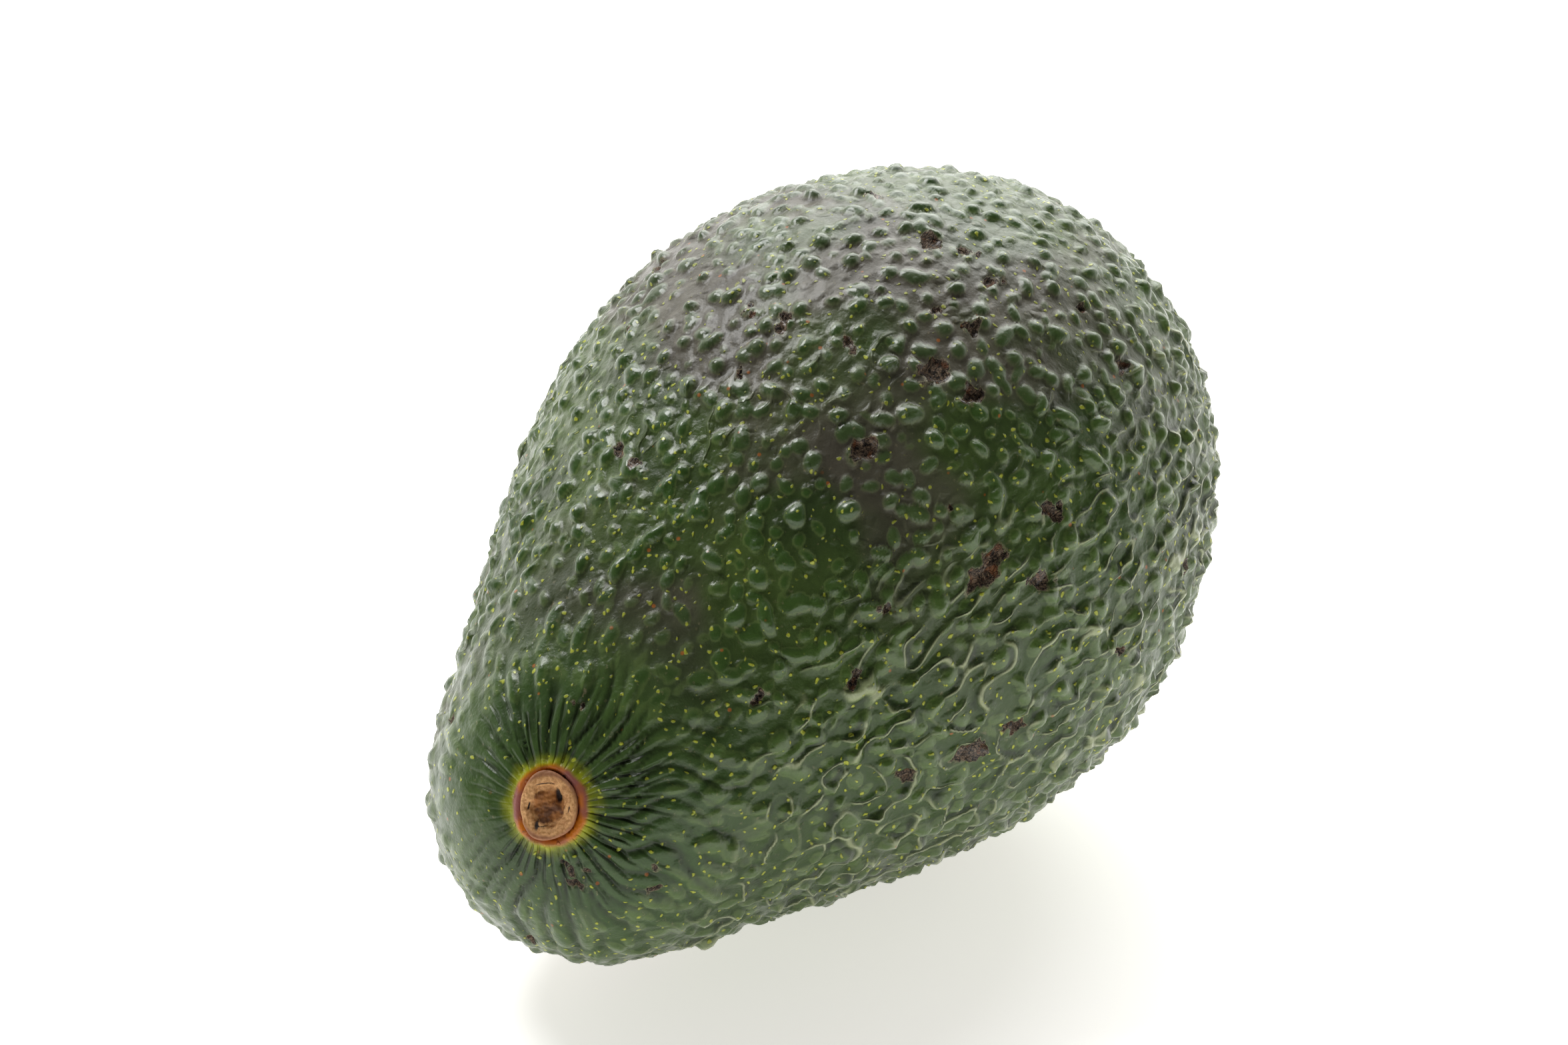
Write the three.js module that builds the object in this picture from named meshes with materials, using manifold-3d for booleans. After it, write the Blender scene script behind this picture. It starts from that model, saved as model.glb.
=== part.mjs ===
// A whole avocado lying on its side, with the dried stub of its stem still in the stem end.
// Millimetres, +Z up. The origin is the middle of the flat spot that the fruit rests on,
// and +X runs along the fruit, from the stem end to the blossom end.
import * as THREE from "three";
import { ConvexHull } from "three/addons/math/ConvexHull.js";
import { mergeVertices } from "three/addons/utils/BufferGeometryUtils.js";
import Module from "manifold-3d";

const wasm = await Module();
wasm.setup();

// The fruit's outline. Its radius at a place t (0 at the stem end, pi at the blossom end) is
// sin t times the sum of these girth terms, each multiplied by the cosine of its number times t.
const fruitLength = 105;
const girthTerms = [34, -6.4, 1.15, 1.9, 1.6];

// The stem sits to one side of the neck's tip, turned up from the table and towards -Y.
const stemPlace = THREE.MathUtils.degToRad(26);
const stemTurn = THREE.MathUtils.degToRad(-28);
const dishDepth = 1.1;
const dishRadius = 6.5;
const blossomDimple = 0.8;
const blossomRadius = 5;

// The pebbles of the skin: domes stand among studs, with the plain skin between them.
const pebbleCount = 1020;
const pebbleScatter = 0.45;
const domeShare = 0.6;
const domeHeight = [0.75, 1.1];
const domeRadius = [1.8, 2.3];
const domeSides = 4;
const domeShoulder = 0.56;
const studHeight = [0.45, 0.75];
const studRadius = [1.3, 1.7];

// Ridges run out from the stem over the smooth skin of the neck.
const ridgeCount = 18;
const ridgeRings = [4.6, 6.2, 8.4, 11.2];
const ridgeHeight = 0.4;
const pebblesBegin = 12.8;

// The stub of the stem, in a socket with a little room all round it.
const buttonRadius = 3.1;
const buttonOval = 0.08;
const buttonLean = 0.6;
const buttonTop = 0.9;
const buttonRoot = 2.4;
const buttonSides = 30;
const pithRadius = 1.55;
const pithDepth = 0.8;
const socketGap = 0.35;

// The flat spot: how far the fruit's round underside is taken off.
const flatDepth = 0.35;

const goldenAngle = Math.PI * (3 - Math.sqrt(5));
const tableSteps = 2000;

// The same number between 0 and 1 for the same two whole numbers.
function scatter(index, kind) {
  const value = Math.sin(index * 12.9898 + kind * 78.233) * 43758.5453;
  return value - Math.floor(value);
}

function between(range, share) {
  return range[0] + (range[1] - range[0]) * share;
}

// The outline at place t: the distance along the fruit, the radius, and how both change with t.
function outline(t) {
  let girth = 0;
  let change = 0;
  girthTerms.forEach((term, k) => {
    girth += term * Math.cos(k * t);
    change -= term * k * Math.sin(k * t);
  });
  return {
    x: (fruitLength / 2) * (1 - Math.cos(t)),
    r: Math.sin(t) * girth,
    dx: (fruitLength / 2) * Math.sin(t),
    dr: Math.cos(t) * girth + Math.sin(t) * change,
  };
}

// A table down the outline: the skin's area so far, and the latitude of a ball that the skin
// is spread on without changing its angles, so that even spacing on the ball stays even in shape.
function measureSkin() {
  const t = [];
  const area = [0];
  const stretch = [];
  for (let k = 0; k <= tableSteps; k++) t.push((Math.PI * k) / tableSteps);
  const step = Math.PI / tableSteps;
  let along = 0;
  for (let k = 1; k < tableSteps; k++) {
    const p = outline(t[k]);
    const arc = Math.hypot(p.dx, p.dr) * step;
    area.push(area[k - 1] + 2 * Math.PI * p.r * arc);
    along += arc / p.r;
    stretch.push(along);
  }
  area.push(area[tableSteps - 1]);
  const middle = stretch[Math.round(stretch.length * 0.5)];
  const latitude = [0, ...stretch.map((u) => 2 * Math.atan(Math.exp(u - middle))), Math.PI];
  return { t, area, latitude };
}

const skin = measureSkin();

// The value in column "to" where column "from" has this value. Both columns rise.
function lookUp(from, to, value) {
  let low = 0;
  let high = from.length - 1;
  while (high - low > 1) {
    const mid = (low + high) >> 1;
    if (from[mid] <= value) low = mid;
    else high = mid;
  }
  const share = (value - from[low]) / Math.max(from[high] - from[low], 1e-12);
  return to[low] + (to[high] - to[low]) * Math.min(Math.max(share, 0), 1);
}

// A direction on the ball for place t and turn a about the fruit's axis, measured from up to +Y.
function onBall(t, a) {
  const latitude = lookUp(skin.t, skin.latitude, t);
  const side = Math.sin(latitude);
  return new THREE.Vector3(-Math.cos(latitude), side * Math.sin(a), side * Math.cos(a));
}

// A direction at a distance of "reach" millimetres from another one, towards "heading".
function stepOnBall(from, heading, reach) {
  const t = placeOf(from);
  const scale = outline(t).r / Math.max(Math.hypot(from.y, from.z), 1e-6);
  const turn = reach / scale;
  const first = new THREE.Vector3(0, 0, 1).cross(from).cross(from).negate().normalize();
  const second = from.clone().cross(first);
  return from
    .clone()
    .multiplyScalar(Math.cos(turn))
    .addScaledVector(first, Math.sin(turn) * Math.cos(heading))
    .addScaledVector(second, Math.sin(turn) * Math.sin(heading));
}

function placeOf(direction) {
  return lookUp(skin.latitude, skin.t, Math.acos(THREE.MathUtils.clamp(-direction.x, -1, 1)));
}

// The point of the plain skin under a direction, and the way that the skin faces there.
function plainSkin(direction) {
  const p = outline(placeOf(direction));
  const side = Math.max(Math.hypot(direction.y, direction.z), 1e-9);
  const [y, z] = [direction.y / side, direction.z / side];
  const point = new THREE.Vector3(p.x, p.r * y, p.r * z);
  const facing = new THREE.Vector3(-p.dr, p.dx * y, p.dx * z).normalize();
  return { point, facing };
}

const stem = onBall(stemPlace, stemTurn);
const stemFoot = plainSkin(stem);

// The skin dips in a dish at the stem and in a dimple at the blossom end.
function dip(point) {
  const toStem = point.distanceTo(stemFoot.point) / dishRadius;
  const toBlossom = point.distanceTo(new THREE.Vector3(fruitLength, 0, 0)) / blossomRadius;
  return -dishDepth * Math.exp(-toStem * toStem) - blossomDimple * Math.exp(-toBlossom * toBlossom);
}

function raised(direction, height) {
  const { point, facing } = plainSkin(direction);
  return point.clone().addScaledVector(facing, height + dip(point));
}

// The pebbles, spread evenly over the skin on a spiral and then scattered a little.
function growPebbles() {
  const total = skin.area[tableSteps];
  const spacing = Math.sqrt(total / pebbleCount);
  const grown = [];
  for (let i = 0; i < pebbleCount; i++) {
    const t = lookUp(skin.area, skin.t, (total * (i + 0.5)) / pebbleCount);
    const start = onBall(t, i * goldenAngle);
    const reach = pebbleScatter * spacing * scatter(i, 1);
    const place = stepOnBall(start, 2 * Math.PI * scatter(i, 2), reach);
    if (fromStem(place) < pebblesBegin) continue;
    const dome = scatter(i, 3) < domeShare;
    const height = between(dome ? domeHeight : studHeight, scatter(i, 4));
    const radius = between(dome ? domeRadius : studRadius, scatter(i, 5));
    const heading = 2 * Math.PI * scatter(i, 6);
    grown.push({ place, middle: plainSkin(place).point, dome, height, radius, heading });
  }
  return grown;
}

function fromStem(direction) {
  return raised(direction, 0).distanceTo(stemFoot.point);
}

// How far the pebbles lift the skin: each is a round cap, and the tallest cap counts.
function relief(pebbles, direction) {
  const { point } = plainSkin(direction);
  let lift = 0;
  for (const { middle, height, radius } of pebbles) {
    const away = middle.distanceTo(point) / radius;
    if (away < 1) lift = Math.max(lift, height * (1 - away * away));
  }
  return lift;
}

// The corners of the cells between points of the ball: the facing of each triangle of their hull.
function cellCorners(points) {
  const hull = new ConvexHull().setFromPoints(points);
  return hull.faces.map((face) => face.normal.clone().normalize());
}

// Every corner of the skin: pebbles, the hollows between them, and the ridges round the stem.
function skinCorners() {
  const pebbles = growPebbles();
  const ridges = ridgeCorners();
  const directions = pebbles.map((pebble) => pebble.place.clone());
  for (const corner of cellCorners([...directions, ...ridges.map((ridge) => ridge.direction)])) {
    if (fromStem(corner) > pebblesBegin - 1) directions.push(corner);
  }
  for (const { place, dome, radius, heading } of pebbles) {
    for (let k = 0; dome && k < domeSides; k++) {
      const side = heading + (2 * Math.PI * k) / domeSides;
      directions.push(stepOnBall(place, side, radius * domeShoulder));
    }
  }
  const lifted = directions.map((direction) => ({ direction, height: relief(pebbles, direction) }));
  return [...lifted, ...ridges];
}

// Rings of corners round the stem, high and low in turn, with a ring inside them for the socket.
function ridgeCorners() {
  const corners = [{ direction: stem.clone(), height: 0 }];
  ridgeRings.forEach((reach, ring) => {
    const fade = Math.min(1, (ring + 0.6) / 2);
    for (let k = 0; k < 2 * ridgeCount; k++) {
      const heading = (Math.PI * (k + 0.3 * scatter(k, 7))) / ridgeCount;
      const height = (k % 2 ? 1 : -1) * ridgeHeight * fade * (0.6 + 0.4 * scatter(k, 8));
      corners.push({ direction: stepOnBall(stem, heading, reach), height });
    }
  });
  return corners;
}

// The skin as triangles: the hull of the ball's directions says which corners are neighbours.
function fruitGeometry() {
  const corners = skinCorners();
  const points = corners.map((corner, i) => Object.assign(corner.direction, { corner: i }));
  const hull = new ConvexHull().setFromPoints(points);
  const places = corners.map((corner) => raised(corner.direction, corner.height));
  const numbers = [];
  for (const face of hull.faces) {
    let edge = face.edge;
    do {
      numbers.push(edge.head().point.corner);
      edge = edge.next;
    } while (edge !== face.edge);
  }
  const geometry = new THREE.BufferGeometry().setFromPoints(places);
  geometry.setIndex(numbers);
  return geometry;
}

// The stub: a short woody plug, oval and a little uneven, hollowed and rough in its middle.
function buttonGeometry() {
  const profile = [
    [0, -buttonRoot],
    [buttonRadius * 0.8, -buttonRoot],
    [buttonRadius * 0.94, -buttonRoot * 0.4],
    [buttonRadius, 0],
    [buttonRadius * 0.97, buttonTop * 0.6],
    [buttonRadius * 0.84, buttonTop],
    [pithRadius * 1.12, buttonTop * 0.92],
    [pithRadius * 0.9, buttonTop - pithDepth * 0.7],
    [pithRadius * 0.5, buttonTop - pithDepth],
    [0, buttonTop - pithDepth * 0.75],
  ];
  const turned = new THREE.LatheGeometry(
    profile.map(([r, y]) => new THREE.Vector2(r, y)),
    buttonSides,
  );
  const solid = toSolid(turned);
  const mesh = toGeometry(solid);
  const position = mesh.getAttribute("position");
  for (let i = 0; i < position.count; i++) {
    const [x, y, z] = [position.getX(i), position.getY(i), position.getZ(i)];
    const a = Math.atan2(z, x);
    const oval = buttonOval * Math.cos(2 * (a - buttonLean));
    const uneven = 1 + oval + 0.03 * Math.sin(3 * a + 1) + 0.02 * Math.sin(5 * a);
    const rough = y > 0.3 ? 0.12 * Math.sin(3 * a + 2) * Math.min(1, Math.hypot(x, z)) : 0;
    position.setXYZ(i, x * uneven, y + rough, z * uneven);
  }
  return mesh;
}

// Solids for joining and cutting.
function toSolid(geometry) {
  const bare = geometry.clone();
  bare.deleteAttribute("normal");
  bare.deleteAttribute("uv");
  const merged = mergeVertices(bare, 1e-4);
  const mesh = new wasm.Mesh({
    numProp: 3,
    vertProperties: new Float32Array(merged.getAttribute("position").array),
    triVerts: new Uint32Array(merged.index.array),
  });
  mesh.merge();
  return new wasm.Manifold(mesh);
}

function toGeometry(solid) {
  const mesh = solid.getMesh();
  const geometry = new THREE.BufferGeometry();
  geometry.setAttribute("position", new THREE.BufferAttribute(mesh.vertProperties, 3));
  geometry.setIndex(new THREE.BufferAttribute(mesh.triVerts, 1));
  return geometry;
}

// How the fruit lies: its middle of weight stands over the place where its side meets the table.
function restingPlace() {
  let volume = 0;
  let moment = 0;
  for (const t of skin.t) {
    const p = outline(t);
    volume += p.r * p.r * p.dx;
    moment += p.r * p.r * p.dx * p.x;
  }
  const middle = moment / volume;
  const balance = (t) => {
    const p = outline(t);
    return p.x + (p.r * p.dr) / p.dx - middle;
  };
  let [low, high] = [0.25 * Math.PI, 0.75 * Math.PI];
  while (high - low > 1e-9) {
    const mid = (low + high) / 2;
    if (balance(mid) < 0) low = mid;
    else high = mid;
  }
  const p = outline(low);
  return { x: p.x, r: p.r, tilt: Math.atan(p.dr / p.dx) };
}

// The place and turn that carry the fruit's own frame to the table's.
function layingMatrix() {
  const rest = restingPlace();
  const turn = new THREE.Matrix4().makeRotationY(-rest.tilt);
  const touch = new THREE.Vector3(rest.x, 0, -rest.r).applyMatrix4(turn);
  const move = new THREE.Matrix4().makeTranslation(-touch.x, -touch.y, -touch.z - flatDepth);
  return move.multiply(turn);
}

// The stub's frame: its own +Y stands out of the skin's dish.
function stemMatrix() {
  const seat = raised(stem, 0);
  const turn = new THREE.Quaternion().setFromUnitVectors(new THREE.Vector3(0, 1, 0), stemFoot.facing);
  return new THREE.Matrix4().compose(seat, turn, new THREE.Vector3(1, 1, 1));
}

function makeFruit(laying) {
  const socketRadius = buttonRadius * (1 + buttonOval + 0.05) + socketGap;
  const socket = new THREE.CylinderGeometry(socketRadius, socketRadius, buttonRoot * 3, buttonSides);
  socket.translate(0, buttonRoot * 1.5 - buttonRoot - socketGap, 0);
  const table = new THREE.BoxGeometry(4 * fruitLength, 4 * fruitLength, fruitLength);
  table.translate(0, 0, -fruitLength / 2);
  const body = toSolid(fruitGeometry().applyMatrix4(laying));
  const hole = toSolid(socket.applyMatrix4(stemMatrix()).applyMatrix4(laying));
  const cut = body.subtract(hole).subtract(toSolid(table));
  const material = new THREE.MeshStandardMaterial({ color: 0x33452f, roughness: 0.42, metalness: 0 });
  const mesh = new THREE.Mesh(toGeometry(cut), material);
  mesh.name = "fruit";
  return mesh;
}

function makeButton(laying) {
  const material = new THREE.MeshStandardMaterial({ color: 0xb98a5e, roughness: 0.75, metalness: 0 });
  const mesh = new THREE.Mesh(buttonGeometry().applyMatrix4(stemMatrix()).applyMatrix4(laying), material);
  mesh.name = "stem_button";
  return mesh;
}

const avocado = new THREE.Group();
const laying = layingMatrix();
avocado.add(makeFruit(laying));
avocado.add(makeButton(laying));

export default avocado;
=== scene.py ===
"""A whole avocado lying on its side on a white table, with its dried stem stub.

The skin is a pear outline turned round an axis. Pebbles, crests, furrows, scars, a dish and a
socket are each a formula for how far the skin lies above that plain shape, and are added up.
"""

import math

import bpy
import numpy as np
from mathutils import Matrix, Vector


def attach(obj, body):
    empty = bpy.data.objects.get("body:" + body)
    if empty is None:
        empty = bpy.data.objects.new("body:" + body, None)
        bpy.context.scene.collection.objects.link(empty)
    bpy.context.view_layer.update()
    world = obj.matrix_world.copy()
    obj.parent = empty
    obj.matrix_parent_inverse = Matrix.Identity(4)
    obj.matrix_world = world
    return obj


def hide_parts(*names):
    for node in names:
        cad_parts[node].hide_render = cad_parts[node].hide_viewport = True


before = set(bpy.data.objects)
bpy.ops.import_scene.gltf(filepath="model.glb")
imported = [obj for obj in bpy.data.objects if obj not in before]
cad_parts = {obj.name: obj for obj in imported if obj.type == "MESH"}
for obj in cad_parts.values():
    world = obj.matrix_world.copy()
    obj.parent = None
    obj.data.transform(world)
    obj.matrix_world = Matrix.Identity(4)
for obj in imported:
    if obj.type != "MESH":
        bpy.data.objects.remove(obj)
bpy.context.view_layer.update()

# The fruit's body.
# A pear shape that grew round its own axis, which lies tilted with the stem end low.
# Lengths in the fruit's functions are millimetres in its own frame: x runs along the axis from
# the stem end, and z is up when the axis is level.
FRUIT_LENGTH = 105.0
GIRTH_TERMS = (34.0, -6.4, 1.15, 1.9, 1.6)
OUTLINE_STEPS = 2000


def outline(t):
    """The pear outline: x is half the length times (1 - cos t), and the radius is sin t times
    a sum of girth terms, each multiplied by the cosine of its number times t."""
    number = np.arange(len(GIRTH_TERMS))
    angle = t[..., None] * number
    girth = (np.cos(angle) * GIRTH_TERMS).sum(-1)
    change = -(np.sin(angle) * GIRTH_TERMS * number).sum(-1)
    x = FRUIT_LENGTH / 2 * (1 - np.cos(t))
    slope_x = FRUIT_LENGTH / 2 * np.sin(t)
    slope_r = np.cos(t) * girth + np.sin(t) * change
    return x, np.sin(t) * girth, slope_x, slope_r


def measure_skin():
    """Down the outline: the skin's area so far, and the latitude of a ball that the skin can be
    spread on without changing its angles."""
    t = np.linspace(0, math.pi, OUTLINE_STEPS + 1)
    x, r, slope_x, slope_r = outline(t)
    arc = np.hypot(slope_x, slope_r)[1:-1] * math.pi / OUTLINE_STEPS
    area = np.concatenate([[0], np.cumsum(2 * math.pi * r[1:-1] * arc)])
    stretch = np.cumsum(arc / r[1:-1])
    halfway = stretch[round(len(stretch) / 2)]
    latitude = np.concatenate([[0], 2 * np.arctan(np.exp(stretch - halfway)), [math.pi]])
    return t, np.append(area, area[-1]), latitude


SKIN_T, SKIN_AREA, SKIN_LATITUDE = measure_skin()


def skin_at(t, side):
    """The point of the plain skin at place t on the side that the pair of numbers points to, and
    the way that the skin faces there."""
    x, r, slope_x, slope_r = outline(t)
    side = side / np.maximum(np.linalg.norm(side, axis=1), 1e-9)[:, None]
    point = np.column_stack([x, r[:, None] * side])
    facing = np.column_stack([-slope_r, slope_x[:, None] * side])
    return point, facing / np.linalg.norm(facing, axis=1)[:, None]


def plain_skin(direction):
    """The point of the plain skin under each direction on the ball, and the way it faces."""
    latitude = np.arccos(np.clip(-direction[:, 0], -1, 1))
    return skin_at(np.interp(latitude, SKIN_LATITUDE, SKIN_T), direction[:, 1:])


def on_ball(t, turn):
    """The direction on the ball for place t and a turn about the axis, measured from up to +Y."""
    latitude = np.interp(t, SKIN_T, SKIN_LATITUDE)
    side = np.sin(latitude)
    return np.column_stack([-np.cos(latitude), side * np.sin(turn), side * np.cos(turn)])


def tangents(direction):
    """Two directions square to this one: the first towards the fruit's upper side."""
    up = np.array([0.0, 0.0, 1.0])
    first = -np.cross(np.cross(up, direction), direction)
    first /= np.linalg.norm(first, axis=-1)[..., None]
    return first, np.cross(direction, first)


def step_on_ball(direction, heading, reach):
    """The directions that lie "reach" millimetres away from these, towards a heading."""
    latitude = np.arccos(np.clip(-direction[:, 0], -1, 1))
    radius = outline(np.interp(latitude, SKIN_LATITUDE, SKIN_T))[1]
    scale = radius / np.maximum(np.linalg.norm(direction[:, 1:], axis=1), 1e-6)
    turn = (reach / scale)[:, None]
    first, second = tangents(direction)
    sideways = first * np.cos(heading)[:, None] + second * np.sin(heading)[:, None]
    return direction * np.cos(turn) + sideways * np.sin(turn)


def scatter(index, kind):
    """The same number between 0 and 1 for the same two whole numbers."""
    value = np.sin(index * 12.9898 + kind * 78.233) * 43758.5453
    return value - np.floor(value)


def smooth_step(low, high, value):
    """0 below low, 1 above high, and a smooth rise between them."""
    share = np.clip((value - low) / (high - low), 0, 1)
    return share * share * (3 - 2 * share)


def draw_waves(wavelength, seed, count=28):
    """Waves of about this wavelength that run in random directions: ways and phases."""
    draw = np.random.default_rng(seed)
    ways = draw.normal(size=(count, 3))
    ways /= np.linalg.norm(ways, axis=1)[:, None]
    ways *= 2 * math.pi / wavelength * draw.uniform(0.7, 1.4, (count, 1))
    return ways, draw.uniform(0, 2 * math.pi, count)


def waves(point, wavelength, seed):
    """A smooth random field: a sum of cosine waves, scaled so that it mostly stays between -1
    and 1."""
    ways, phase = draw_waves(wavelength, seed)
    return np.cos(point @ ways.T + phase).sum(1) / math.sqrt(len(ways) / 2) * 0.6


def beside_line(point, wavelength, seed, squeeze):
    """Distance from the nearest line where such a field is zero, negative on one side of it: the
    field's value over its slope. Also 1 where the slope is steep, falling to 0 where it is so
    slight that lines run together. The squeeze makes the field longer along x."""
    ways, phase = draw_waves(wavelength, seed)
    ways[:, 0] *= squeeze
    angle = point @ ways.T + phase
    slope = np.linalg.norm(np.sin(angle) @ ways, axis=1)
    usual = 2 * math.pi / wavelength * math.sqrt(len(ways) / 2)
    return np.cos(angle).sum(1) / slope, smooth_step(0.35, 0.7, slope / usual)


# The stem end and the blossom end.
# The stalk grew from the narrow end, a little to one side. The skin sinks in a shallow dish
# round it, and in a dimple at the far end, where the blossom was.
STEM_T = math.radians(26)
STEM_TURN = math.radians(-28)
DISH_DEPTH, DISH_REACH = 1.1, 6.5
DIMPLE_DEPTH, DIMPLE_REACH = 0.8, 5
stem_foot, stem_facing = plain_skin(on_ball(np.array([STEM_T]), np.array([STEM_TURN])))
blossom_tip = np.array([FRUIT_LENGTH, 0, 0])


def dip(point):
    """How far the skin sinks in the dish at the stem and in the dimple at the blossom end."""
    to_stem = np.linalg.norm(point - stem_foot, axis=1) / DISH_REACH
    to_blossom = np.linalg.norm(point - blossom_tip, axis=1) / DIMPLE_REACH
    return -DISH_DEPTH * np.exp(-to_stem**2) - DIMPLE_DEPTH * np.exp(-to_blossom**2)


def stem_polar(point):
    """Distance from the stem, and the heading round it, at each point of the plain skin."""
    away = point - stem_foot
    first, second = tangents(stem_facing)
    heading = np.arctan2(away @ second[0], away @ first[0])
    return np.linalg.norm(away, axis=1), heading


def lower_side(facing):
    """1 where the skin faces the lower right of the picture, and 0 elsewhere."""
    return smooth_step(0.1, 0.75, -facing[:, 1]) * smooth_step(0.9, 0.2, facing[:, 2])


# The pebbles.
# Knobs that the skin grew all over, highest at the wide end. Towards the stem they flatten and
# stretch, and between the larger ones stand smaller ones.
PEBBLE_COUNT = 1020
PEBBLES_BEGIN = 12.8
PEBBLE_WIDTH = 0.53
SMALL_PEBBLE_COUNT = 4600
SMALL_PEBBLE_GAP = 1.65
GOLDEN_TURN = math.pi * (3 - math.sqrt(5))


def grow_pebbles():
    """Domes and studs, spread evenly over the skin on a spiral and then scattered a little.
    Gives each one's middle, the way it faces, its height, its radius and its number."""
    index = np.arange(PEBBLE_COUNT)
    total = SKIN_AREA[-1]
    spacing = math.sqrt(total / PEBBLE_COUNT)
    t = np.interp(total * (index + 0.5) / PEBBLE_COUNT, SKIN_AREA, SKIN_T)
    reach = 0.45 * spacing * scatter(index, 1)
    place = step_on_ball(on_ball(t, index * GOLDEN_TURN), 2 * math.pi * scatter(index, 2), reach)
    dome = scatter(index, 3) < 0.6
    share = scatter(index, 4)
    height = np.where(dome, 0.75 + 0.35 * share, 0.45 + 0.3 * share)
    share = scatter(index, 5)
    radius = np.where(dome, 1.8 + 0.5 * share, 1.3 + 0.4 * share)
    point, facing = plain_skin(place)
    sunk = point + facing * dip(point)[:, None]
    clear = np.linalg.norm(sunk - stem_foot, axis=1) > PEBBLES_BEGIN
    return point[clear], facing[clear], height[clear], radius[clear], index[clear]


def grow_small_pebbles(middle):
    """Smaller pebbles in the gaps: an even spiral of places, scattered, without those that are
    too near to the middle of one of the larger pebbles. Gives middles, facings and numbers."""
    order = np.arange(SMALL_PEBBLE_COUNT)
    index = order + 5000
    t = np.interp(SKIN_AREA[-1] * (order + 0.5) / SMALL_PEBBLE_COUNT, SKIN_AREA, SKIN_T)
    start = on_ball(t, order * GOLDEN_TURN + 1)
    place = step_on_ball(start, 2 * math.pi * scatter(index, 2), 1.4 * scatter(index, 1))
    point, facing = plain_skin(place)
    square = (point**2).sum(1)[:, None] + (middle**2).sum(1) - 2 * point @ middle.T
    clear = square.min(1) > SMALL_PEBBLE_GAP**2
    return point[clear], facing[clear], index[clear]


def long_ways(point, facing, index, spread):
    """A direction along the skin for each knob: straight out from the stem, turned by up to
    spread radians."""
    out = point - stem_foot
    across = np.cross(facing, out)
    across /= np.maximum(np.linalg.norm(across, axis=1), 1e-9)[:, None]
    along = np.cross(across, facing)
    turn = (scatter(index, 9) - 0.5) * 2 * spread
    return along * np.cos(turn)[:, None] + across * np.sin(turn)[:, None]


def caps(point, middle, height, radius, way, longer, power):
    """The lift of round knobs at each point: each is its height times (1 - d cubed) to the 1.3,
    where d is the distance from its middle in radii, counted as less along its long way. Knobs
    that overlap join softly: the lift is the power-th root of the sum of their powers."""
    lift = np.zeros(len(point))
    for first in range(0, len(point), 4096):
        p = point[first : first + 4096]
        square = (p**2).sum(1)[:, None] + (middle**2).sum(1) - 2 * p @ middle.T
        along = p @ way.T - (way * middle).sum(1)
        square = np.maximum(square - along**2, 0) + (along / longer) ** 2
        cap = np.maximum(1 - (square / radius**2) ** 1.5, 0) ** 1.3 * height
        lift[first : first + 4096] = (cap**power).sum(1) ** (1 / power)
    return lift


def pebble_lifts(bent, away):
    """The lift of the larger and of the smaller pebbles at each point. Near the stem they are
    lower and longer, and point straight out from it."""
    middle, out, height, radius, index = grow_pebbles()
    far = smooth_step(13, 30, stem_polar(middle)[0])
    longer = 1 + 0.6 * scatter(index, 10) ** 2 + 0.9 * (1 - far)
    height = height * (0.45 + 0.33 * far)
    ways = long_ways(middle, out, index, 1.4 * far)
    big = caps(bent, middle, height, PEBBLE_WIDTH * radius, ways, longer, 3)
    middle, out, index = grow_small_pebbles(middle)
    far = smooth_step(13, 30, stem_polar(middle)[0])
    size = scatter(index, 3)
    longer = 1 + 0.6 * scatter(index, 5) ** 2 + 0.8 * (1 - far)
    height = (0.18 + 0.32 * size) * (0.5 + 0.5 * far)
    ways = long_ways(middle, out, index, 1.4 * far)
    small = caps(bent, middle, height, 0.65 + 0.4 * size, ways, longer, 3)
    return big, small * smooth_step(10, 16, away)


# The crests.
# Thin wavy folds of the skin that link pebbles. They stand out most on the lower right side of
# the picture, and run mostly along the fruit.
CREST_HEIGHT = 0.5
CREST_SPACING = 3.6
CREST_SQUEEZE = 0.42


def crest_lines(point, bent, facing, away):
    """Distance from the nearest crest, up to 1 on either side of it, and how strong it is."""
    beside, steep = beside_line(bent, CREST_SPACING, 21, CREST_SQUEEZE)
    elsewhere = 0.15 + 0.35 * smooth_step(0.2, 0.9, waves(point, 24, 22))
    left_side = 0.8 * smooth_step(0.3, 0.8, facing[:, 1])
    strength = np.maximum(np.maximum(lower_side(facing), left_side), elsewhere)
    broken = 0.3 + 0.7 * smooth_step(-0.35, 0.3, waves(bent, 4.5, 24))
    return np.clip(beside, -1, 1), strength * (steep * smooth_step(14, 28, away) * broken)


def relief(point, facing):
    """The skin's relief over its plain shape, the pebbles' share of it from 0 to 1, the distance
    from the nearest crest, and its strength. Slow waves bend every pebble and crest, and a crest
    is a ridge with one side steeper."""
    warp = np.column_stack([waves(point, 4.2, seed) for seed in (11, 12, 13)])
    bent = point + 0.3 * warp
    away = stem_polar(point)[0]
    big, small = pebble_lifts(bent, away)
    beside, strength = crest_lines(point, bent, facing, away)
    crest = np.maximum(0, np.where(beside > 0, 1 - beside / 0.9, 1 + beside / 0.4))
    lift = (big**3 + small**3) ** (1 / 3) + CREST_HEIGHT * strength * crest
    lift += 0.035 * waves(point, 2.2, 31) + 0.10 * waves(point, 9, 32)
    return lift, np.clip(np.maximum(big / 0.62, small / 0.32), 0, 1), beside, strength


# The furrows, the collar and the socket.
# The skin puckers into furrows that run out from the stem. At their inner ends it makes a low
# collar round the socket that the stub stands in.
FURROW_DEPTH = 0.48
COLLAR_HEIGHT, COLLAR_RADIUS, COLLAR_WIDTH = 0.45, 3.75, 0.55
SOCKET_DEPTH, SOCKET_FLOOR, SOCKET_EDGE = 2.6, 2.75, 3.3
STUB_TURN = math.radians(28)


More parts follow.
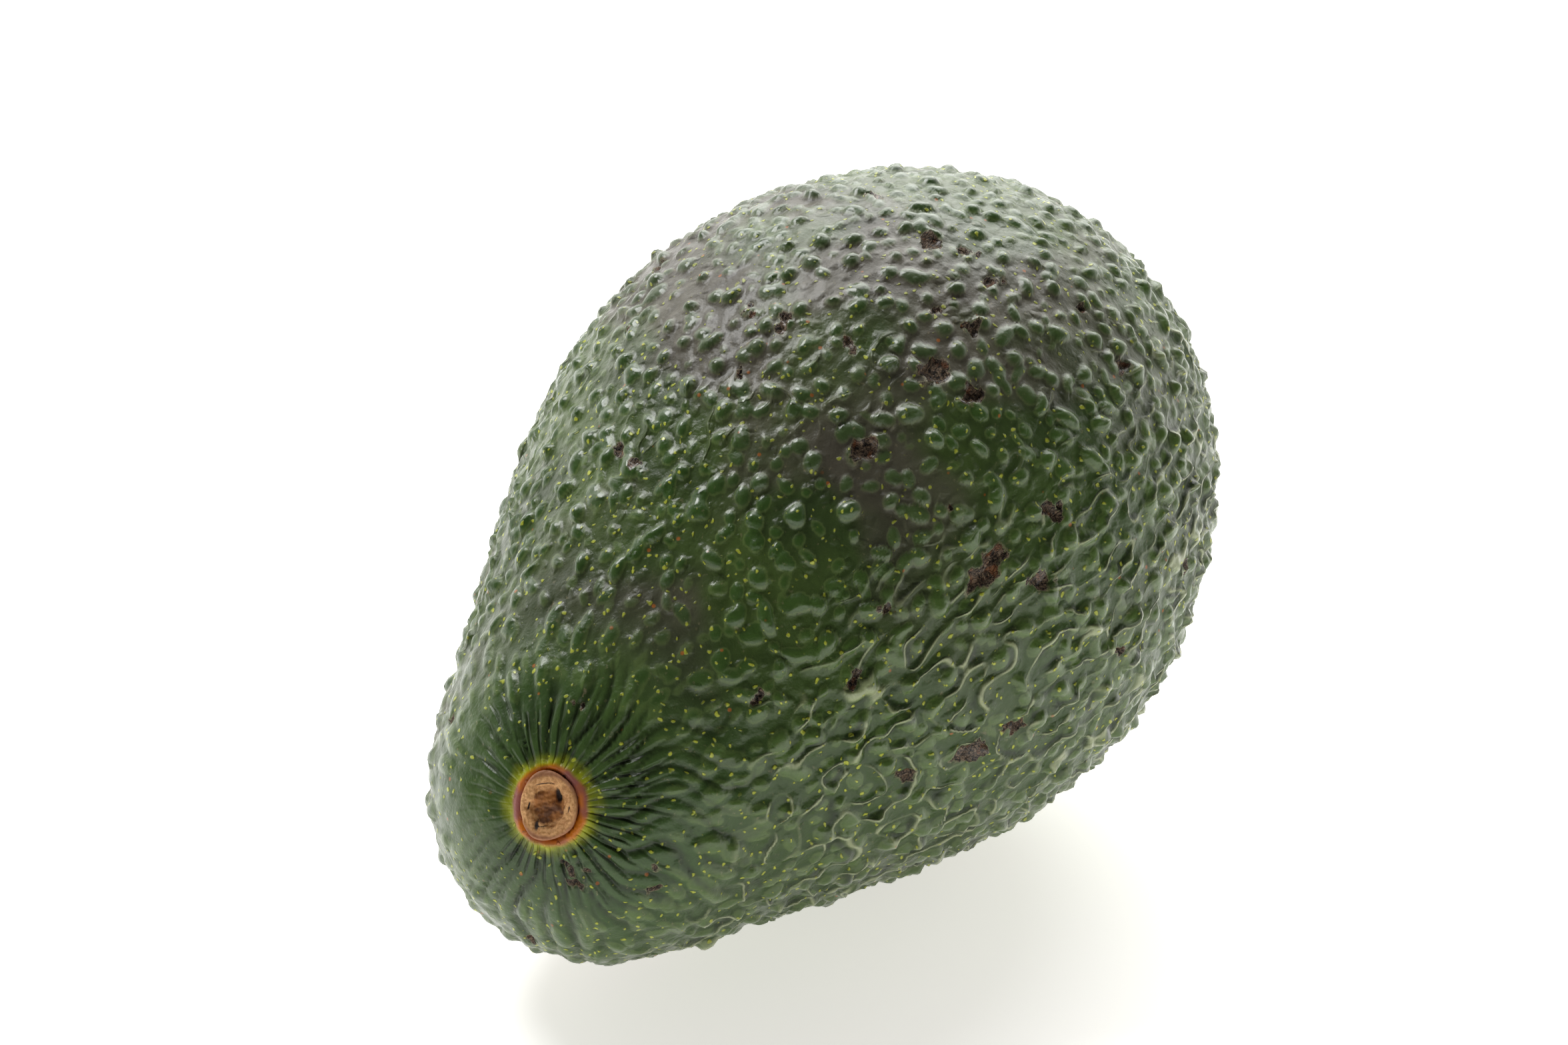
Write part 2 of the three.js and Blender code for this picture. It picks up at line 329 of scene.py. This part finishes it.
def furrows(away, heading, bend):
    """Furrows that run out from the stem: 0 on the broad ridges between them and 1 along the
    bottom of each. Slow waves bend them, more of them begin further out, they reach furthest at
    the lower right of the picture, and they are faint on the side at heading 90 degrees."""
    phase = 9 * heading + bend
    groove = np.maximum(0, 1 - np.abs(np.sin(phase)) / 0.45) ** 1.2
    groove += 0.7 * np.maximum(0, 1 - np.abs(np.cos(phase)) / 0.38) * smooth_step(6, 9, away)
    smooth_side = np.exp(-(((heading - math.radians(90)) / 0.6) ** 2))
    reach = 16 + 4 * np.cos(heading + math.radians(130)) + 3 * bend
    strength = smooth_step(3.6, 5.0, away) * (1 - smooth_step(reach * 0.6, reach * 1.3, away))
    return groove * strength * (1 - 0.75 * smooth_side)


def stub_oval(heading):
    """How much wider than round the stub and its socket are, at a heading round the stem."""
    turn = STUB_TURN - heading
    return 1 + 0.08 * np.cos(2 * (turn - 0.6)) + 0.03 * np.sin(3 * turn + 1)


# The scars.
# Corky patches where the skin was rubbed while it grew. They are sunk, with a raised edge.
# Each row has the distance along the fruit, the turn about it in degrees, and the radius.
SCAR_DEPTH, SCAR_EDGE = 0.42, 0.22
SCARS = (
    (73, -15, 1.5), (75, -21, 0.8), (65, -25, 0.6), (66, -31, 1.3), (59, -32, 2.0), (60, -39, 1.5),
    (73, -28, 0.8), (55, -6, 1.2), (56, -18, 1.0), (48, -5, 0.7), (55, 1, 0.7), (61, 33, 1.0),
    (51, 25, 0.6), (37, 11, 1.0), (36, 5, 0.7), (48, -32, 1.5), (79, -42, 0.9), (78, -55, 0.8),
    (58, -62, 1.3), (49, -62, 1.7), (53, -70, 1.2), (50, -50, 0.6), (25, -52, 0.8), (33, -63, 1.1),
    (45, -93, 1.0), (40, -93, 1.5), (33, -90, 0.8), (10, 40, 0.7), (9, -78, 0.7), (8, -86, 0.9),
    (3, -69, 0.7), (4, -65, 0.6), (3, -57, 0.5), (14, -16, 0.5), (73, -93, 0.7), (59, -93, 0.6),
    (77, 3, 0.8), (21, 10, 0.7), (39, -55, 0.7),
)


def scars(point):
    """1 in the middle of a scar, falling to 0 outside it. More scars than those in the table are
    scattered over the sides that face away, and waves make them all ragged."""
    along, turn, size = np.array(SCARS).T
    turn = np.radians(turn)
    index = np.arange(60) + 9000
    t = np.interp(SKIN_AREA[-1] * scatter(index, 1), SKIN_AREA, SKIN_T)
    hidden = math.radians(60) + math.pi * 1.1 * scatter(index, 2)
    t = np.concatenate([np.arccos(1 - 2 * along / FRUIT_LENGTH), t])
    turn = np.concatenate([turn, hidden])
    size = np.concatenate([size, 0.6 + 0.9 * scatter(index, 3) ** 2])
    place, out = skin_at(t, np.column_stack([np.sin(turn), np.cos(turn)]))
    index = np.arange(len(t))
    ragged = point + 0.45 * np.column_stack([waves(point, 2.2, seed) for seed in (41, 42, 43)])
    longer = 1.2 + 1.4 * scatter(index, 4)
    ways = long_ways(place, out, index, 0.8)
    return caps(ragged, place, np.ones(len(t)), 0.82 * size, ways, longer, 6)


# How it lies.
# Nothing holds the fruit. It rests on a small flat spot, at the tilt where it balances.
FLAT_DEPTH = 0.35
MM = 0.001


def laying_matrix():
    """Lays the fruit down so that its middle of weight stands over the place where it touches
    the table, and sinks it by the depth of its flat spot."""
    x, r, slope_x, slope_r = outline(SKIN_T)
    weight = r**2 * slope_x
    middle = (weight * x).sum() / weight.sum()
    inner = slice(OUTLINE_STEPS // 4, 3 * OUTLINE_STEPS // 4)
    balance = x[inner] + r[inner] * slope_r[inner] / slope_x[inner] - middle
    t = np.array([np.interp(0, balance, SKIN_T[inner])])
    x, r, slope_x, slope_r = (float(value[0]) for value in outline(t))
    turn = Matrix.Rotation(-math.atan(slope_r / slope_x), 4, "Y")
    touch = turn @ Vector((x, 0, -r))
    return Matrix.Translation((-touch.x, -touch.y, -touch.z - FLAT_DEPTH)) @ turn


laying = laying_matrix()


def to_table(point):
    """Millimetres in the fruit's own frame to metres in the table's."""
    matrix = np.array(laying)
    return (point @ matrix[:3, :3].T + matrix[:3, 3]) * MM


# The skin's surface.
# One closed sheet round the whole fruit, grown with it. Everything above is raised from it or
# sunk into it.
SKIN_GRID = 128
GRID_PULL = 0.32
CAMERA_SIDE = np.array([-0.3, -0.6, 0.7])


def cube_grid(count):
    """A ball as six square grids: the directions, and four corner numbers for each small face."""
    angle = np.tan(np.linspace(-math.pi / 4, math.pi / 4, count + 1))
    a, b = np.meshgrid(angle, angle, indexing="ij")
    one = np.ones_like(a)
    sides = [(one, a, b), (-one, b, a), (b, one, a), (a, -one, b), (a, b, one), (b, a, -one)]
    direction = np.concatenate([np.stack(side, -1).reshape(-1, 3) for side in sides])
    direction /= np.linalg.norm(direction, axis=1)[:, None]
    corner = np.arange((count + 1) ** 2).reshape(count + 1, count + 1)
    quad = np.stack([corner[:-1, :-1], corner[1:, :-1], corner[1:, 1:], corner[:-1, 1:]], -1)
    faces = np.concatenate([quad.reshape(-1, 4) + side * corner.size for side in range(6)])
    key = np.round(direction, 6)
    unique, number = np.unique(key, axis=0, return_inverse=True)
    first = np.zeros(len(unique), int)
    first[number.ravel()[::-1]] = np.arange(len(direction))[::-1]
    return direction[first], number.ravel()[faces]


def make_object(name, vertices, faces, more_faces=()):
    """A smooth-shaded mesh object from arrays."""
    mesh = bpy.data.meshes.new(name)
    mesh.from_pydata(vertices.tolist(), [], faces.tolist() + [face.tolist() for face in more_faces])
    mesh.polygons.foreach_set("use_smooth", np.ones(len(mesh.polygons), bool))
    mesh.update()
    made = bpy.data.objects.new(name, mesh)
    bpy.context.scene.collection.objects.link(made)
    return made


def add_field(made, name, values):
    """Keeps a number at every vertex, for the materials."""
    field = made.data.attributes.new(name, "FLOAT", "POINT")
    field.data.foreach_set("value", values.astype(np.float32))


def make_skin():
    """The plain skin over a ball, moved along the way it faces by the sum of its reliefs. The
    grid's small faces are a little closer together on the side that is seen first."""
    direction, faces = cube_grid(SKIN_GRID)
    direction += GRID_PULL * CAMERA_SIDE
    direction /= np.linalg.norm(direction, axis=1)[:, None]
    share = (1 + direction[:, 0]) / 2
    point, facing = skin_at(np.interp(SKIN_AREA[-1] * share, SKIN_AREA, SKIN_T), direction[:, 1:])
    lift, pebble, beside, strength = relief(point, facing)
    away, heading = stem_polar(point)
    scar = scars(point)
    rim = smooth_step(0.05, 0.25, scar) * (1 - smooth_step(0.3, 0.6, scar))
    lift = lift * (1 - 0.4 * scar) - SCAR_DEPTH * smooth_step(0.35, 0.8, scar) + SCAR_EDGE * rim
    oval = stub_oval(heading)
    groove = furrows(away, heading, waves(point, 13, 51))
    lift = lift * smooth_step(3.5, 6.5, away) - FURROW_DEPTH * groove
    lift += COLLAR_HEIGHT * np.exp(-(((away - COLLAR_RADIUS * oval) / COLLAR_WIDTH) ** 2))
    lift -= SOCKET_DEPTH * (1 - smooth_step(SOCKET_FLOOR * oval, SOCKET_EDGE * oval, away))
    vertices = to_table(point + facing * (lift + dip(point))[:, None])
    vertices[:, 2] = np.maximum(vertices[:, 2], 0)
    skin = make_object("skin", vertices, faces)
    add_field(skin, "pebble", pebble)
    add_field(skin, "scar", scar)
    add_field(skin, "from_stem", away)
    add_field(skin, "groove", groove)
    add_field(skin, "beside_crest", beside)
    add_field(skin, "crests", strength)
    add_field(skin, "lower", lower_side(facing))
    add_field(skin, "stem_up", away * np.cos(heading))
    add_field(skin, "stem_side", away * np.sin(heading))
    bloom = 0.55 * waves(point, 34, 61) + 0.3 * waves(point, 15, 62) + 0.12 * waves(point, 6, 63)
    add_field(skin, "bloom", bloom)
    return skin


skin = make_skin()
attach(skin, "root")
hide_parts("fruit")


# The skin's material.
# A thin green rind with a dull wax bloom over it, glossier on the pebbles.
class Shade:
    """One socket of a material's nodes. Arithmetic on it adds Math nodes."""

    def __init__(self, tree, socket=None):
        self.tree = tree
        self.socket = socket

    def feed(self, socket, value):
        if isinstance(value, Shade):
            self.tree.links.new(value.socket, socket)
        else:
            socket.default_value = value

    def node(self, kind, settings=None, inputs=None, output=0):
        """Adds any node: its settings first, then a value or link for each input."""
        node = self.tree.nodes.new(kind)
        for name, value in (settings or {}).items():
            setattr(node, name, value)
        for name, value in (inputs or {}).items():
            self.feed(node.inputs[name], value)
        return Shade(self.tree, node.outputs[output])

    def math(self, operation, first, second=0.0):
        return self.node("ShaderNodeMath", {"operation": operation}, {0: first, 1: second})

    def __add__(self, other):
        return self.math("ADD", self, other)

    def __radd__(self, other):
        return self.math("ADD", other, self)

    def __sub__(self, other):
        return self.math("SUBTRACT", self, other)

    def __rsub__(self, other):
        return self.math("SUBTRACT", other, self)

    def __mul__(self, other):
        return self.math("MULTIPLY", self, other)

    def __rmul__(self, other):
        return self.math("MULTIPLY", other, self)

    def __truediv__(self, other):
        return self.math("DIVIDE", self, other)

    def step(self, low, high):
        """0 below low, 1 above high, and a smooth rise between them."""
        inputs = {"Value": self, "From Min": low, "From Max": high}
        return self.node("ShaderNodeMapRange", {"interpolation_type": "SMOOTHSTEP"}, inputs)

    def blend(self, first, second):
        """A colour between two, by this factor. The Mix node's colours are its inputs 6 and 7,
        and its mixed colour is its output 2."""
        return self.node("ShaderNodeMix", {"data_type": "RGBA"}, {0: self, 6: first, 7: second}, 2)

    def scaled(self, amount):
        """This colour or vector times a number."""
        return self.node("ShaderNodeVectorMath", {"operation": "SCALE"}, {0: self, "Scale": amount})

    def field(self, name):
        """A number kept at the vertices."""
        return self.node("ShaderNodeAttribute", {"attribute_name": name}, output="Fac")

    def place(self):
        """Metres in the table's frame."""
        return self.node("ShaderNodeTexCoord", output="Object")

    def bent_place(self, scale, reach):
        """The same, pushed about by noise, so that patterns on it lose their roundness."""
        inputs = {"Vector": self.place(), "Scale": scale, "Detail": 1.0}
        push = self.node("ShaderNodeTexNoise", None, inputs, "Color").scaled(reach)
        return self.node("ShaderNodeVectorMath", {"operation": "ADD"}, {0: self.place(), 1: push})

    def noise(self, scale, detail=2.0, rough=0.5, place=None):
        """Smooth random numbers round 0.5. The scale is in waves a metre."""
        inputs = {"Vector": place or self.place(), "Scale": scale}
        inputs |= {"Detail": detail, "Roughness": rough}
        return self.node("ShaderNodeTexNoise", None, inputs)

    def cells(self, scale, feature, output, place=None):
        """Scattered cells, so many a metre: distances in them, or a random colour for each."""
        inputs = {"Vector": place or self.place(), "Scale": scale}
        return self.node("ShaderNodeTexVoronoi", {"feature": feature}, inputs, output)


def paint(red, green, blue):
    """A colour from screen values 0 to 255."""
    linear = [((c / 255 + 0.055) / 1.055) ** 2.4 for c in (red, green, blue)]
    return (*linear, 1.0)


def new_material(name):
    """A material, its main shader node and a Shade to start expressions from."""
    material = bpy.data.materials.new(name)
    material.use_nodes = True
    tree = material.node_tree
    return material, tree.nodes["Principled BSDF"], Shade(tree)


def skin_ground(s, cloud, bloom, pebble, lower):
    """Green in the valleys, purple-grey where the bloom lies, and a fresher green on pebbles. On
    the side facing the lower right the pebble tops are painted lighter, as painted light, and a
    pale ring round each pebble's flank is a painted highlight.
    """
    green = cloud.step(0.3, 0.7).blend(paint(50, 66, 32), paint(74, 94, 44))
    green = (lower * 0.85).blend(green, paint(57, 79, 36))
    green = ((1 - s.field("from_stem").step(12, 26)) * 0.4).blend(green, paint(58, 88, 42))
    waxy = cloud.step(0.3, 0.7).blend(paint(70, 64, 56), paint(90, 84, 74))
    valley = (bloom * 0.9).blend(green, waxy)
    top = (bloom * 0.4).blend(paint(50, 80, 26), paint(64, 76, 44))
    # Painted light: on the side facing the lower right the pebble tops are painted a lighter green.
    top = (lower * 0.6).blend(top, paint(92, 116, 52))
    colour = (pebble.step(0.2, 0.85) * 0.85).blend(valley, top)
    # Painted highlight: a pale green ring round each pebble's flank, fainter where the bloom lies.
    rim = pebble.step(0.12, 0.32) * (1 - pebble.step(0.4, 0.7)) * (1 - 0.5 * bloom)
    return (rim * 0.2).blend(colour, paint(128, 150, 84))


def fine_furrows(s, away):
    """Lines that run out from the stem, finer than the furrows in the surface: a mask for a slight
    dent and for painted shade.
    """
    heading = s.math("ARCTAN2", s.field("stem_side"), s.field("stem_up"))
    line = s.math("ABSOLUTE", s.math("SINE", 21 * heading + 6 * (s.noise(110) - 0.5)))
    smooth_side = (s.field("stem_side") / away).step(0.5, 1.0)
    reach = 1 - (away + 8 * (s.noise(150) - 0.5)).step(8, 17)
    furrow = (1 - line.step(0.0, 0.75)) * away.step(3.8, 5.2) * reach * s.noise(300).step(0.3, 0.7)
    return furrow * (1 - 0.8 * smooth_side)


def stem_ring(s, colour, away):
    """The skin turns yellow round the stem, and then orange and mauve along the socket."""
    halo = 1 - (away + 2.2 * (s.noise(520) - 0.5)).step(3.9, 5.9)
    colour = (halo * 0.95).blend(colour, paint(156, 160, 10))
    ring = 1 - (away + 0.8 * (s.noise(500) - 0.5)).step(3.85, 4.5)
    warm = s.noise(260).step(0.4, 0.6).blend(paint(196, 112, 26), paint(146, 88, 80))
    return ring.blend(colour, warm)


def skin_material():
    """Green skin with a bloom in patches, pale pores, painted highlights along the crests with
    painted shade on one side, painted shade in the furrows, and brown corky scars."""
    material, shader, s = new_material("avocado_skin")
    pebble = s.field("pebble")
    scar = s.field("scar")
    away = s.field("from_stem")
    lower = s.field("lower")
    bent = s.bent_place(900, 0.0009)
    grain = s.noise(2400, 3, 0.6)
    cloud = s.noise(90, 5, 0.65)
    bloom = (s.field("bloom") + 0.9 * (cloud - 0.5)).step(-0.25, 0.6) * away.step(12, 28)
    bloom = bloom * (1 - 0.85 * lower)
    colour = skin_ground(s, cloud, bloom, pebble, lower)

    # Painted shade: a dark band beside each crest on its steep side, stronger on the lower side.
    across = s.field("beside_crest")
    shade = across.step(-0.9, -0.4) * (1 - across.step(-0.35, -0.08)) * s.field("crests")
    colour = (shade * (0.3 + 0.45 * lower)).blend(colour, paint(24, 36, 15))
    # Painted highlight: a pale line along the top of each crest, stronger on the lower side.
    line = 1 - s.math("ABSOLUTE", across).step(0.03, 0.24)
    crest = line * s.field("crests").step(0.1, 0.8)
    colour = (crest * (0.08 + 0.4 * lower)).blend(colour, paint(196, 203, 158))
    # Painted shade: the fine furrows and the bottoms of the furrows in the surface are painted
    # dark.
    furrow = fine_furrows(s, away)
    colour = (furrow * 0.7).blend(colour, paint(20, 28, 12))
    colour = (s.field("groove") * 0.85).blend(colour, paint(18, 25, 11))

    cell = s.cells(900, "F1", "Distance", bent)
    chosen = (s.cells(900, "F1", "Color", bent) + 0.6 * pebble + 0.4 * crest).step(0.3, 0.4)
    pore = (1 - cell.step(0.12, 0.24)) * chosen
    colour = (pore * (1 - 0.3 * bloom)).blend(colour, paint(172, 180, 60))
    fleck = 1 - s.cells(370, "F1", "Distance").step(0.05, 0.10)
    fleck = fleck * s.cells(370, "F1", "Color").step(0.4, 0.5)
    colour = (fleck * 0.8).blend(colour, paint(160, 92, 36))
    colour = stem_ring(s, colour, away)

    cork = s.noise(2600, 4, 0.75, bent).step(0.38, 0.62)
    cork = cork.blend(paint(30, 21, 14), paint(142, 120, 98))
    cork = (s.noise(900, 2).step(0.55, 0.7) * 0.7).blend(cork, paint(140, 86, 46))
    ragged = scar + 0.9 * (s.noise(1500, 3, 0.6) - 0.5)
    colour = (ragged.step(0.1, 0.3) * 0.5).blend(colour, paint(150, 140, 108))
    patch = ragged.step(0.28, 0.42)
    s.feed(shader.inputs["Base Color"], patch.blend(colour, cork))

    rough = 0.33 + 0.1 * bloom + 0.03 * pebble + 0.16 * (grain - 0.5) + 0.2 * patch
    s.feed(shader.inputs["Roughness"], rough)
    s.feed(shader.inputs["Coat Weight"], 0.15 + 0.45 * pebble + 0.25 * crest)
    shader.inputs["Specular IOR Level"].default_value = 0.27
    shader.inputs["Coat Roughness"].default_value = 0.14

    stud = (0.45 - s.cells(560, "F1", "Distance", bent)).step(0.0, 0.36) * away.step(9, 18)
    height = 0.00006 * grain + 0.0001 * pore + 0.0001 * s.noise(900, 2, 0.5)
    height = height + 0.00014 * stud - 0.0004 * furrow + 0.0002 * crest
    crack = s.cells(2200, "DISTANCE_TO_EDGE", "Distance", bent).step(0.0, 0.15)
    height = height + patch * (0.0003 * crack + 0.0003 * s.noise(3000, 4, 0.75, bent))
    bump = s.node("ShaderNodeBump", None, {"Strength": 1.0, "Distance": 1.0, "Height": height})
    s.feed(shader.inputs["Normal"], bump)
    return material


skin.data.materials.append(skin_material())

# The stem stub.
# A short plug of dry wood left where the stalk broke off, with a cracked hollow in its middle.
# It stands in the socket, where dried tissue held it.
# Its outline, from the middle of its foot up its side and over to the middle of its top.
STUB_R = np.array([0.0, 2.5, 2.9, 3.1, 3.2, 3.18, 3.0, 2.6, 2.1, 1.95, 1.8, 1.2, 0.0])
STUB_Y = np.array([-2.4, -2.4, -1.0, 0.0, 0.5, 0.74, 0.88, 0.9, 0.82, 0.74, 0.45, 0.32, 0.42])
STUB_ROUNDS = 110
STUB_TURNS = 180


def picture_sides(local):
    """How far right and how far up each point of the stub is, as the camera sees it."""
    right = (-0.505, 0, 0.863)
    up = (0.869, 0, 0.495)
    return local @ right, local @ up


def stub_surface():
    """The outline turned about the stem's axis. Sine waves of the turn make it oval and ragged,
    more so on the ledge inside its rim."""
    knots = np.concatenate([[0], np.cumsum(np.hypot(np.diff(STUB_R), np.diff(STUB_Y)))])
    share = np.linspace(0, 1, STUB_ROUNDS + 1) ** 0.8
    r = np.interp(share, knots / knots[-1], STUB_R)[1:-1, None]
    y = np.interp(share, knots / knots[-1], STUB_Y)[1:-1, None]
    a = np.linspace(0, 2 * math.pi, STUB_TURNS, endpoint=False)[None, :]
    uneven = 1 + 0.08 * np.cos(2 * (a - 0.6)) + 0.03 * np.sin(3 * a + 1) + 0.02 * np.sin(5 * a)
    inner = 1 - smooth_step(1.9, 2.7, r)
    uneven = uneven + inner * (0.10 * np.sin(4 * a + 0.5) + 0.07 * np.sin(7 * a + 2))
    tilt = np.where(y > 0.3, 0.12 * np.sin(3 * a + 2) * np.minimum(1, r / 2), 0)
    local = np.stack([r * uneven * np.cos(a), y + tilt, r * uneven * np.sin(a)], -1)
    return np.concatenate([local.reshape(-1, 3), [[0, STUB_Y[0], 0], [0, STUB_Y[-1], 0]]])


def stub_wear(local, from_middle):
    """How deep the wood has cracked at each point, and how much painted shade darkens each crack:
    a gap at the upper right, a notch at the lower left and a thin broken ring between rim and pith."""
    across, up = picture_sides(local)
    down = (up - 1.05 + 0.5 * (across - 0.95)) / 0.85
    crack = np.exp(-(((across - 0.95) / 0.42) ** 2) - down**2)
    notch = np.exp(-(((across + 1.15) / 0.3) ** 2) - ((up + 1.9) / 0.7) ** 2)
    ring = np.exp(-(((from_middle - 2.2 + 0.25 * waves(local, 2.5, 74)) / 0.09) ** 2))
    ring *= smooth_step(-0.3, 0.4, waves(local, 2.2, 75))
    return 0.5 * crack + 0.22 * notch + 0.12 * ring, np.maximum(crack + 0.8 * notch, 0.8 * ring)


def make_button():
    """The turned outline with cracks and grain in its top, closed by a fan of faces at each end
    and stood in the socket."""
    local = stub_surface()
    from_middle = np.hypot(local[:, 0], local[:, 2])
    depth, crack_shade = stub_wear(local, from_middle)
    top = smooth_step(0.0, 0.3, local[:, 1])
    pith = 1 - smooth_step(1.7, 2.1, from_middle)
    wood = 0.045 * waves(local, 0.9, 71) + 0.03 * waves(local, 0.4, 72)
    wood += 0.07 * pith * waves(local, 0.8, 73)
    local[:, 1] += top * (wood - depth)
    corner = np.arange((STUB_ROUNDS - 1) * STUB_TURNS).reshape(STUB_ROUNDS - 1, STUB_TURNS)
    following = np.roll(corner, -1, axis=1)
    quads = np.stack([corner[:-1], corner[1:], following[1:], following[:-1]], -1).reshape(-1, 4)
    last = np.full(STUB_TURNS, corner.size)
    bottom = np.stack([corner[0], following[0], last], -1)
    cap = np.stack([following[-1], corner[-1], last + 1], -1)
    turn = Vector((0, 1, 0)).rotation_difference(Vector(stem_facing[0])).to_matrix()
    seat = stem_foot[0] + stem_facing[0] * dip(stem_foot)[0]
    vertices = to_table(local @ np.array(turn).T + seat)
    made = make_object("button", vertices, quads, [*bottom, *cap])
    add_field(made, "from_middle", from_middle)
    add_field(made, "crack", crack_shade)
    return made


def button_material():
    """Dry tan wood with a dark, cracked pith, and painted shade in its cracks."""
    material, shader, s = new_material("stem_wood")
    middle = s.field("from_middle")
    fibre = s.noise(3000, 5, 0.7)
    patch = s.noise(800, 3, 0.6)
    tan = fibre.step(0.3, 0.7).blend(paint(172, 118, 66), paint(226, 176, 118))
    tan = (patch.step(0.5, 0.75) * 0.5).blend(tan, paint(156, 102, 58))
    pith = patch.step(0.35, 0.6).blend(paint(96, 56, 24), paint(168, 108, 50))
    inside = 1 - (middle + 1.2 * (patch - 0.5)).step(1.5, 1.8)
    colour = inside.blend(tan, pith)
    edge = (middle + 0.5 * (fibre - 0.5)).step(2.8, 3.15)
    colour = (edge * 0.8).blend(colour, paint(140, 88, 60))
    # Painted shade: the cracks are painted dark brown.
    colour = s.field("crack").step(0.3, 0.7).blend(colour, paint(40, 22, 14))
    s.feed(shader.inputs["Base Color"], colour)
    s.feed(shader.inputs["Roughness"], 0.55 + 0.25 * fibre)
    height = 0.00006 * fibre + 0.0001 * patch
    bump = s.node("ShaderNodeBump", None, {"Strength": 0.9, "Distance": 1.0, "Height": height})
    s.feed(shader.inputs["Normal"], bump)
    return material


button = make_button()
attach(button, "root")
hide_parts("stem_button")
button.data.materials.append(button_material())

# The table.
# A plain white studio table that the fruit lies loose on. It is so bright that only the
# fruit's soft shadow shows on it.


def make_table():
    """A flat white square, 12 metres wide, that glows a little."""
    corners = 6.0 * np.array([[-1, -1, 0], [1, -1, 0], [1, 1, 0], [-1, 1, 0]])
    table = make_object("table", corners, np.array([[0, 1, 2, 3]]))
    material, shader, s = new_material("table_white")
    shade = s.noise(3.0, 2, 0.5).step(0.2, 0.8)
    s.feed(shader.inputs["Base Color"], shade.blend((0.94, 0.94, 0.94, 1), (0.96, 0.96, 0.955, 1)))
    shader.inputs["Roughness"].default_value = 0.9
    shader.inputs["Specular IOR Level"].default_value = 0.1
    shader.inputs["Emission Color"].default_value = (1.0, 0.975, 0.93, 1)
    shader.inputs["Emission Strength"].default_value = 0.63
    table.data.materials.append(material)
    return table


make_table()

# The lamps.
# A large soft lamp stands high behind the fruit on the right, and a smaller one high up on the
# left. They make the highlights on the pebbles.
FRUIT_MIDDLE = Vector((0, 0, 0.03))


def area_light(name, place, width, power):
    """A round soft lamp that shines on the fruit."""
    data = bpy.data.lights.new(name, "AREA")
    data.shape = "DISK"
    data.size = width
    data.energy = power
    light = bpy.data.objects.new(name, data)
    bpy.context.scene.collection.objects.link(light)
    light.location = place
    light.rotation_euler = (FRUIT_MIDDLE - Vector(place)).to_track_quat("-Z", "Y").to_euler()


area_light("back_light", (0.8, 0.45, 0.9), 1.2, 12)
area_light("upper_light", (0.0, 0.6, 0.95), 0.5, 8)

# The room.
# White walls, lit brightest on the far side of the fruit and dark behind the camera. The camera
# itself sees them plain white.
CAMERA_FORWARD = (0.6944, 0.5657, -0.4448)
world = bpy.data.worlds.new("white_room")
world.use_nodes = True
bpy.context.scene.world = world
room = Shade(world.node_tree)
background = world.node_tree.nodes["Background"]
seen = room.node("ShaderNodeLightPath", output="Is Camera Ray")
sight = room.node("ShaderNodeTexCoord", output="Generated")
dot = {"operation": "DOT_PRODUCT"}
ahead = room.node("ShaderNodeVectorMath", dot, {0: sight, 1: CAMERA_FORWARD}, "Value")
glow = 0.08 + 2.0 * ahead.step(-0.35, 0.8)
room.feed(background.inputs["Color"], seen.blend((1.0, 0.985, 0.95, 1), (1, 1, 1, 1)))
room.feed(background.inputs["Strength"], seen * 1.4 + (1 - seen) * glow)

# The camera.
# A long lens looks down at the stem end from the front left.
camera_data = bpy.data.cameras.new("camera")
camera_data.lens = 100
camera_data.sensor_width = 36
camera_data.clip_end = 100
camera = bpy.data.objects.new("camera", camera_data)
bpy.context.scene.collection.objects.link(camera)
camera.location = Vector((-326.88, -258.87, 244.6 - FLAT_DEPTH)) * MM
camera.rotation_euler = Vector(CAMERA_FORWARD).to_track_quat("-Z", "Y").to_euler()
bpy.context.scene.camera = camera
bpy.context.scene.view_settings.view_transform = "Standard"
